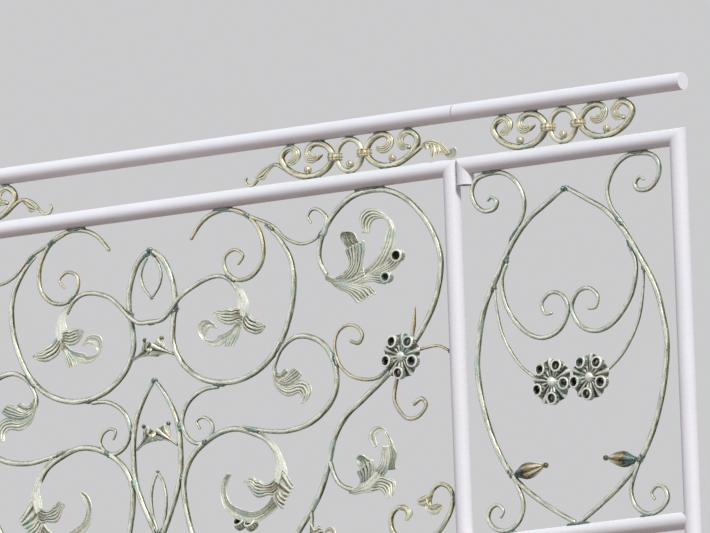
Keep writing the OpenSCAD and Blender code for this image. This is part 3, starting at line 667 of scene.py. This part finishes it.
def flower(a, b, stamen):
    """Bell flower from a to b, its mouth opened in five tips, and a ball on a wire beside it.

    The bell is turned, of radius r (1 + 0.16 cos 5a) at the angle a.
    """
    way = np.array([b[0] - a[0], 0, b[1] - a[1]], float)
    length = np.linalg.norm(way)
    at = (a[0], 0, a[1])
    bell = lathe(stretched([
        (0, 0.1), (0, 3.2), (0.35, 3.6), (0.52, 6), (0.68, 9.5), (0.82, 13), (0.93, 17), (1, 20),
        (0.97, 17), (0.84, 10.5), (0.72, 6), (0.66, 0.1)], length), at, way, steps=5, sides=60,
        flutes=5, depth=0.16)
    bell[2][:, 3] -= 0.15
    ball = lathe(stretched([
        (0.66, 0.1), (0.68, 3), (0.76, 5.4), (0.86, 5.6), (0.93, 4), (0.96, 0.1)], length),
        at, way)
    wire = bar([(a[0] + way[0] * 0.4, a[1] + way[2] * 0.4), stamen], [3.2, 2.6])
    knob = lathe([(-5, 0.1), (-3.5, 3.8), (0, 5.2), (3.5, 3.8), (5, 0.1)],
                 (stamen[0], 0, stamen[1]), way)
    knob[2][:, 3] *= 0.2
    return [bell, ball, wire, knob]


spray = [
    bar([(842, -105), (829, -122), (821, -146), (828, -172), (848, -196)],
        [tendril_d, tendril_d, tendril_d, tip_d]),
    bar([(848, -590), (836, -610), (829, -642), (832, -681), (845, -719)],
        [tendril_d, tendril_d, tendril_d, tip_d]),
    *flower((788, -331), (841, -311), (826, -290)),
    *flower((792, -532), (837, -501), (815, -482)),
]
piece("axis_flowers", placed(spray, centre_left + centre_right), iron, "bronze_iron",
      "axis_sprays")

# Rail tendril: a bar coiled under the second rail and welded to it, and a thin link that is drawn
# from its top to the acanthus scroll.
rail_tendril = [
    bar([(735, -80), (705, -47), (668, -28), (618, -25), (568, -46), (535, -92), (534, -145),
         (565, -178), (605, -183), (637, -160), (640, -128), (612, -115), (588, -130),
         (604, -150)], [end_d, mid_d, mid_d, end_d, tip_d]),
    bar([(610, -28), (555, -50), (505, -72), (465, -106), (425, -122), (390, -118),
         (371, -106), (362, -92)], [end_d, tendril_d, tendril_d, 6, 3]),
]
pair("tendril_{}", rail_tendril, gilt, "patina_iron", "rail_tendril_{}", centre_halves)

# Rosette tendrils: four thin bars that spring from the rosette. Two of them are coiled, one is
# welded to the post and one drawn out to a thorn; all are a warmer gold than the great bars.
rosette_tendril = [
    bar([(175, -407), (220, -438), (262, -440), (302, -426), (331, -397), (341, -358),
         (332, -330), (308, -316), (280, -320), (263, -340), (274, -358), (298, -350)],
        [end_d, tendril_d, tendril_d, end_d]),
    bar([(129, -393), (60, -386), (22, -402)], [tendril_d, tip_d]),
    bar([(163, -422), (180, -480), (175, -508), (150, -536), (118, -537), (94, -515),
         (106, -498), (130, -510)], [end_d, end_d, end_d, mid_d], [end_d, 6, 6, 6]),
    bar([(128, -371), (120, -333), (114, -293)], [tendril_d, mid_d, 2]),
]
pair("rosette_tendril_{}", rosette_tendril, bronze, "bronze_iron", "rosette_tendrils_{}",
     centre_halves)

# Post scroll: a bar that stands on the bottom rail and is welded to the post. Its end beside the
# post is hammered out to two small lobes, and its other end is flattened.
post_scroll = [
    bar([(156, -760), (147, -747), (158, -734), (180, -731), (200, -748), (199, -780),
         (170, -806), (130, -810), (80, -800), (43, -763), (29, -728), (38, -702), (62, -691),
         (84, -702), (93, -725), (84, -748), (62, -744)],
        [tendril_d, mid_d, bar_d, mid_d, mid_d, tip_d]),
    lobe([(78, -703), (92, -709), (105, -713), (117, -719)],
         [(88, -729), (97, -733), (105, -736), (113, -733)], 2, depth=(0, -3, -7),
         relief=(1.6,), ground=0.75),
    lobe([(88, -704), (96, -716), (95, -729), (86, -735), (75, -735), (64, -733), (56, -738)],
         [(92, -716), (101, -732), (97, -747), (83, -756), (69, -757), (59, -752), (53, -743)], 2,
         depth=(0, -2, -4, -8), relief=(1.2,), cup=-2, ground=0.85),
    blade([(180, -731), (160, -734), (150, -743), (148, -753), (154, -763)],
          [11, 14, 15, 14, 9], 1, relief=(1.5,)),
]
pair("post_scroll_{}_forged", post_scroll, gilt, "patina_iron", "post_scroll_{}", centre_halves)

# Ovals of the side bays: two round bars each, which meet at the top and the bottom, and beside
# them a spiral that stands on the bottom rail.
oval = [
    bar([(305, -78), (255, -107), (205, -137), (160, -182), (115, -250), (76, -320), (56, -400),
         (52, -460), (65, -540), (95, -625), (135, -690), (190, -740), (250, -780), (304, -811)],
        [mid_d, bar_d, bar_d, bar_d, mid_d]),
    bar([(120, -665), (150, -718), (163, -757), (152, -790), (122, -810), (88, -805), (66, -783),
         (72, -760), (92, -752), (108, -766), (99, -782)], [end_d, mid_d, mid_d, tip_d]),
]
pair("oval_{}", oval, iron, "patina_iron", "oval_scrolls_{}", side_bays)

# Spirals of the side bays: a bar welded to the oval that winds up inside it, and the thin stem
# that carries the rosette.
spiral = [
    bar([(142, -226), (127, -260), (132, -305), (152, -345), (190, -383), (235, -399),
         (280, -385), (305, -345), (290, -311), (258, -303), (234, -322), (241, -346),
         (262, -347)], [end_d, mid_d, mid_d, end_d, tendril_d]),
    bar([(107, -279), (110, -322), (125, -385), (165, -448), (215, -487), (258, -498)],
        [tip_d, tendril_d, tip_d]),
]
pair("spiral_{}", spiral, iron, "patina_iron", "spiral_scrolls_{}", side_bays)

# Corner scrolls of the side bays: a bar hung under the second rail beside the post, coiled at one
# end, drawn out at the other and welded to the oval.
corner = [bar([(95, -84), (108, -76), (121, -88), (112, -103), (84, -104), (60, -84), (54, -55),
               (70, -32), (105, -24), (145, -28), (178, -52), (196, -90), (190, -128),
               (165, -161), (147, -186)], [tip_d] + [mid_d] * 5 + [end_d, 3.5])]
pair("corner_{}", corner, iron, "patina_iron", "corner_scrolls_{}", side_bays)


# Rosettes: a ribbed disc with a domed boss and five petals rolled up to tubes, laid on the face
# of a bar and welded to it.
def rosette(x, z, back):
    """Rosette at (x, z) whose disc lies on the plane y = back.

    At the angle a from a tube the disc has the radius 47 - 3 cos 5a. Its boss is a dome; between
    two tubes three ribs run out, 3.2 (1 - cos 15a) / 2 high and a little longer than the disc.
    """
    sides, first_tube = 150, np.radians(60)
    boss_r, petal_r, petal_out, petal_foot = 11.5, 14, 37, -4.5
    angle = 2 * np.pi * np.arange(sides) / sides
    from_tube = angle - first_tube
    rib = 0.5 - 0.5 * np.cos(15 * from_tube)
    rim = 47 - 3.0 * np.cos(5 * from_tube) + 2.5 * rib
    share = np.array([0, 0.06, 0.12, 0.17, 0.2, 0.22, 0.235, 0.25, 0.3, 0.4, 0.5, 0.6, 0.7, 0.8,
                      0.88, 0.94, 0.98, 1])
    reach = share[:, None] * rim
    dome = np.sqrt(np.clip(1 - (reach / boss_r) ** 2, 0, 1))
    front = (4 + 11 * dome + 3.2 * rib * np.clip((reach - 10) / 10, 0, 1)
             - 3.5 * share[:, None] ** 6)
    behind = np.array([0.96, 0.6, 0.02])[:, None] * rim
    radius = np.concatenate([np.maximum(reach, 0.1), behind])
    height = np.concatenate([front, np.zeros_like(behind)])
    rings = np.stack([x + radius * np.cos(angle), back - height, z + radius * np.sin(angle)], -1)
    wear_and_painted_light = np.concatenate([
        0.95 * np.maximum(rib ** 1.5, dome ** 0.3), np.full_like(behind, 0.2)])
    tubes = []
    for a in first_tube + 2 * np.pi * np.arange(5) / 5:
        out_x, out_z = np.cos(a), np.sin(a)
        tubes.append(eye(x + petal_out * out_x, z + petal_out * out_z, petal_r, back - 5,
                         (0.12 * out_x, -1, 0.12 * out_z), petal_foot))
    return [tube_of(rings, radius[:, 0], wear_and_painted_light)] + tubes


piece("rosettes_forged",
      placed(rosette(150, -400, -5.4), centre_left + centre_right)
      + placed(rosette(258, -498, -2.5), side_left + side_right),
      pale, "bronze_iron", "rosettes")


# Buds: half open and welded to the ovals, their petals wound round the axis in a dark cup; a
# thin pistil with a ball stands out of them.
def bud(a, b):
    """Cup, and the body, pistil and ball of a bud from a to b, turned from profiles.

    The body has the radius r (1 + 0.06 cos(6a + 0.18t)) at the angle a, so its petals wind.
    """
    way = np.array([b[0] - a[0], 0, b[1] - a[1]], float)
    length = np.linalg.norm(way)
    at = (a[0], 0, a[1])
    cup = lathe([(-2, 0.1), (-1, 7)] + stretched([
        (0.08, 10), (0.18, 14), (0.28, 17), (0.27, 14), (0.16, 0.1)], length), at, way, flutes=6,
        depth=0.05)
    cup[2][:, 3] *= 0.3
    body = lathe(stretched([
        (0.1, 0.1), (0.12, 8), (0.22, 14.5), (0.36, 17.5), (0.5, 16.5), (0.66, 13), (0.8, 8.5),
        (0.88, 5), (0.82, 0.1)], length), at, way, steps=6, sides=60, flutes=6, depth=0.06,
        twist=0.18)
    body[2][:, 3] *= np.clip(body[2][:, 2] / length * 1.7 - 0.2, 0, 1)
    pistil = lathe(stretched([(0.8, 0.1), (0.82, 1.9), (0.99, 1.7), (1, 0.1)], length), at, way)
    ball = lathe([(length - 6.2, 0.1), (length - 5, 4), (length - 2, 6), (length + 2, 6),
                  (length + 5, 4), (length + 6.2, 0.1)], at, way)
    ball[2][:, 3] *= 0.3
    return [cup], [body, pistil, ball]


cup, flower_bud = bud((149, -690), (228, -678))
piece("bud_cups", placed(cup, side_left + side_right), teal, "bronze_iron")
piece("buds_forged", placed(flower_bud, side_left + side_right), bronze, "bronze_iron", "buds")

# Frieze: between the two rails, thick scrolls with flattened ends, tied in pairs to a ring by
# ribbed collars, with small balls on the bars. The two middle pairs end in leaves at both sides.
c_scroll = bar([(76, 52), (92, 42), (110, 45), (117, 60), (106, 73), (86, 76), (61, 66), (47, 44),
                (61, 21), (92, 7), (120, 6), (150, 14), (176, 30), (190, 52), (181, 68),
                (163, 74), (147, 67), (144, 54), (155, 44), (170, 39)],
               [tendril_d, 12, 14, 13.5, 14, 13, 9])
flares = [
    blade([(106, 73), (116, 62), (112, 48), (98, 42), (82, 48)], [12, 16, 19, 18, 8], 4),
    blade([(181, 68), (163, 74), (148, 66), (144, 54), (155, 42), (166, 42)],
          [11, 13, 16, 18, 17, 8], 4),
]


def hoop(radius, thick, centre, sides=14, rows=72):
    """Closed ring of round bar, seen from the front.

    Its points are centre + (radius + thick cos b) (cos a, sin a) and thick sin b across.
    """
    a = 2 * np.pi * np.arange(rows) / rows
    b = 2 * np.pi * np.arange(sides) / sides
    reach = radius + thick * np.cos(b)
    points = np.stack([
        centre[0] + np.cos(a)[:, None] * reach,
        centre[1] + np.ones(rows)[:, None] * thick * np.sin(b),
        centre[2] + np.sin(a)[:, None] * reach], -1)
    grain = np.empty((rows, sides, 4))
    grain[..., 0] = np.cos(b)
    grain[..., 1] = np.sin(b)
    grain[..., 2] = (a * radius)[:, None]
    # Painted highlight and shade over real rubbing: the front and back of the ring are paler, and
    # its inner and outer sides are darker.
    grain[..., 3] = 0.3 + 0.7 * np.abs(np.sin(b)) ** 1.5
    return solid(points.reshape(-1, 3), faces(rows, sides, rows), grain.reshape(-1, 4))


rail_top = rail_z + tube_r
middle_z, ball_z = 41, 21
centre_left_x, centre_right_x = -1.42, -0.28
frieze_x = {
    "frieze_scrolls_centre_left": centre_left_x, "frieze_scrolls_centre_right": centre_right_x,
    "frieze_scrolls_left": -2.01, "frieze_scrolls_right": 0.31,
}
ring = hoop(35, 6, (0, 0, middle_z))
for name, x in frieze_x.items():
    piece(name + "_forged",
          placed([c_scroll] + flares, [(1, x, rail_top), (-1, x, rail_top)])
          + placed([ring], [(1, x, rail_top)]), gilt, "patina_iron", name)
both = [(s, x, rail_top) for x in frieze_x.values() for s in (1, -1)]
one = [(1, x, rail_top) for x in frieze_x.values()]
collar = lathe([(-8.5, 0.1), (-8.5, 14), (-6.5, 17.4), (-4, 15.6), (-2, 17.8), (2, 17.8),
                (4, 15.6), (6.5, 17.4), (8.5, 14), (8.5, 0.1)], (41, 0, middle_z), (0, 0, 1))
piece("collars_forged", placed([collar], both), bronze, "bronze_iron", "frieze_collars")
ball_profile = [(9 * -np.cos(a), max(9 * np.sin(a), 0.1)) for a in np.linspace(0, np.pi, 9)]
outer_ball, middle_ball = (
    lathe(ball_profile, (x, 0, ball_z), (0, 0, 1), steps=2) for x in (118, 0))
piece("balls_forged", placed([outer_ball], both) + placed([middle_ball], one), bronze,
      "bronze_iron", "frieze_balls")
outer_leaf = [
    bar([(166, 18), (186, 29), (203, 39), (216, 44)], [end_d, end_d, end_d, tip_d]),
    lobe([(202, 43), (219, 48), (235, 48), (252, 42), (266, 31), (277, 19), (282, 12)],
         [(198, 34), (214, 34), (229, 31), (243, 27), (254, 20), (260, 15), (265, 11)], 4,
         depth=(1, -3, -4, -4, -5), end=0),
    lobe([(211, 43), (212, 38), (214, 33), (219, 28)],
         [(221, 44), (226, 39), (229, 33), (227, 29)], 1, depth=(-2, -5, -7), end=2),
    lobe([(219, 45), (227, 38), (232, 30), (233, 21), (235, 11)],
         [(236, 44), (243, 36), (247, 26), (248, 17), (245, 8)], 2,
         depth=(-2, -6, -9, -11), end=2),
    lobe([(237, 43), (244, 33), (247, 24), (248, 14)],
         [(248, 39), (256, 30), (260, 21), (256, 13)], 2, depth=(-2, -6, -8), end=2),
    lobe([(264, 14), (272, 8), (282, 3), (292, 2), (302, 5), (307, 12), (307, 19), (304, 23)],
         [(284, 13), (287, 12), (289, 12), (289, 14), (288, 16), (288, 17), (287, 18), (286, 20)],
         1, depth=(-4, -6, -8, -10, -12), relief=(1.2,), cup=-2, ground=0.85, end=0),
]
inner_leaf = [
    bar([(166, 18), (186, 32), (206, 42), (228, 39), (247, 28), (261, 12), (272, 4), (287, 5),
         (294, 15), (289, 23)], [end_d, end_d, 7, 6, 6, 6]),
    lobe([(210, 44), (226, 41), (243, 34), (255, 21)],
         [(216, 34), (226, 26), (236, 12), (252, 13)], 3, depth=(-1, -4, -6)),
]
piece("frieze_leaves_forged",
      placed(outer_leaf, [(1, centre_right_x, rail_top), (-1, centre_left_x, rail_top)])
      + placed(inner_leaf, [(-1, centre_right_x, rail_top), (1, centre_left_x, rail_top)]),
      gilt, "bronze_iron", "frieze_leaves")

# Welds: rough lumps of weld metal, beaded and dark green, where bars touch each other and the
# rails. They are listed by the scroll's own places, in millimetres.
def weld(x, z, along, high, turn=0, deep=7.5):
    """Ellipsoid of half sizes along, deep and high, turned in the plane of the railing.

    At t from -1 to 1 along it, its radius is high sqrt(1 - t^2) (1 + 0.1 sin 9t), in five flutes.
    """
    t = np.linspace(-1, 1, 15)
    radius = high * np.sqrt(1 - t ** 2) * (1 + 0.1 * np.sin(9 * t)) + 0.1
    way = (np.cos(np.radians(turn)), 0, np.sin(np.radians(turn)))
    points, corners, grain = lathe(np.column_stack([along * t, radius]), (x, 0, z), way,
                                   steps=2, sides=15, flutes=5, depth=0.1, twist=0.5)
    grain[:, 3] = grain[:, 3] * 0.7 - 0.1
    return points * [1, deep / high, 1], corners, grain


bay_welds = [
    weld(228, -21, 44, 5.5), weld(640, -22, 30, 5), weld(522, -813, 22, 4), weld(682, -814, 22, 4),
    weld(786, -814, 16, 4), weld(140, -814, 24, 4), weld(21, -402, 6, 4, 90),
    weld(22, -728, 14, 4, 90), weld(368, -109, 10, 6, 117), weld(198, -430, 20, 5, -36),
    weld(786, -229, 10, 7, 100, 12), weld(496, -348, 22, 5, -50), weld(667, -410, 18, 5, 8),
    weld(840, -100, 10, 5, 34), weld(510, -75, 16, 4, 44), weld(626, -177, 17, 5, 37),
    weld(582, -521, 22, 5, 14), weld(340, -390, 20, 5, 69), weld(712, -534, 15, 6.5, -28),
    weld(782, -608, 14, 5, -77), weld(782, -493, 14, 5, 80), weld(842, -720, 10, 5, -65),
    weld(571, -44, 15, 5, 36),
]
axis_welds = [
    weld(850, -90, 9, 5.5, 0, 7), weld(850, -382, 8, 5.5, 0, 7), weld(850, -198, 4, 3, 0, 4),
    weld(850, -586, 4, 3, 0, 4), weld(850, -723, 5, 4, 0, 5), weld(856, -252, 12, 6, 0, 12),
]
side_welds = [
    weld(134, -689, 18, 7, -51), weld(138, -223, 18, 5.5, 58), weld(104, -277, 10, 5, 58),
    weld(167, -165, 22, 5, 48), weld(110, -22, 30, 4.5), weld(306, -79, 8, 6, 36),
    weld(298, -814, 20, 4), weld(122, -815, 20, 4), weld(250, -490, 10, 5, -14),
]
frieze_welds = [
    weld(105, 2, 24, 4), weld(82, 80, 14, 3.5), weld(164, 80, 10, 3.5), weld(118, 12, 5, 4),
]
ring_welds = [weld(0, 1, 10, 4), weld(0, 81, 10, 3.5), weld(0, 11, 5, 4)]
piece("welds", placed(bay_welds, centre_left + centre_right) + placed(axis_welds, centre_right)
      + placed(side_welds, side_left + side_right) + placed(frieze_welds, both)
      + placed(ring_welds, one), teal, "patina_iron")

# Floor: a plain pale slab that the railing stands on. It throws little light back, and shows
# nothing from below, where the camera stands.
def in_sight(field):
    """1 for what is seen, also in metal and through glass, and 0 for what lights the pieces."""
    camera, metal, glass = (field.node("ShaderNodeLightPath", {}, {}, f"Is {kind} Ray")
                            for kind in ("Camera", "Glossy", "Transmission"))
    return camera + metal + glass


floor_mesh = bpy.data.meshes.new("floor")
floor_mesh.from_pydata([(-7, -5, 0), (5, -5, 0), (5, 5, 0), (-7, 5, 0)], [], [(0, 1, 2, 3)])
floor = bpy.data.objects.new("floor", floor_mesh)
scene.collection.objects.link(floor)
slab, shader, place = new_material("pale_floor")
floor_mesh.materials.append(slab)
shader.inputs["Roughness"].default_value = 0.9
tone = in_sight(place).mix(rgb(0.30, 0.27, 0.26), rgb(0.52, 0.52, 0.52))
slab.node_tree.links.new(tone.socket, shader.inputs["Base Color"])
below = place.node("ShaderNodeNewGeometry", {}, {}, "Backfacing")
clear = place.node("ShaderNodeBsdfTransparent", {}, {})
surface = place.node("ShaderNodeMixShader", {}, {0: below, 2: clear})
slab.node_tree.links.new(shader.outputs[0], surface.socket.node.inputs[1])
slab.node_tree.links.new(surface.socket, slab.node_tree.nodes["Material Output"].inputs[0])


# Light: a large soft key from the upper right, two weak lamps from the left and the back, and a
# surround that the camera sees as a plain light grey.
def lamp(name, kind, spot, aim, size, power):
    """Lamp of a kind at a spot; its size is in metres, or in radians for a sun."""
    data = bpy.data.lights.new(name, kind)
    if kind == "SUN":
        data.angle = size
    else:
        data.size = size
    data.energy = power
    made = bpy.data.objects.new(name, data)
    back = np.array(spot, float) - np.array(aim, float)
    back /= np.linalg.norm(back)
    side = np.cross([0, 0.01, 1], back)
    side /= np.linalg.norm(side)
    made.matrix_world = axes_at(side, np.cross(back, side), back, spot)
    scene.collection.objects.link(made)


aim = (-0.8, 0, 0.6)
lamp("key_lamp", "SUN", (6.6, -4.2, 6.4), (0, 0, 0), 0.2, 2.75)
lamp("fill_lamp", "AREA", (-3.6, -3.0, 2.0), aim, 2.6, 25)
lamp("back_lamp", "AREA", (-1.0, 3.2, 3.0), aim, 2.6, 40)
world = bpy.data.worlds.new("surround")
scene.world = world
world.use_nodes = True
tree = world.node_tree
around = Field(tree, tree.nodes["Background"].outputs[0])
seen = around.node("ShaderNodeBackground", {}, {"Color": rgb(0.60, 0.60, 0.61), "Strength": 1.0})
lit = around.node("ShaderNodeBackground", {}, {"Color": rgb(0.80, 0.83, 0.96), "Strength": 0.46})
mixed = around.node("ShaderNodeMixShader", {}, {0: in_sight(around), 1: lit, 2: seen})
tree.links.new(mixed.socket, tree.nodes["World Output"].inputs[0])
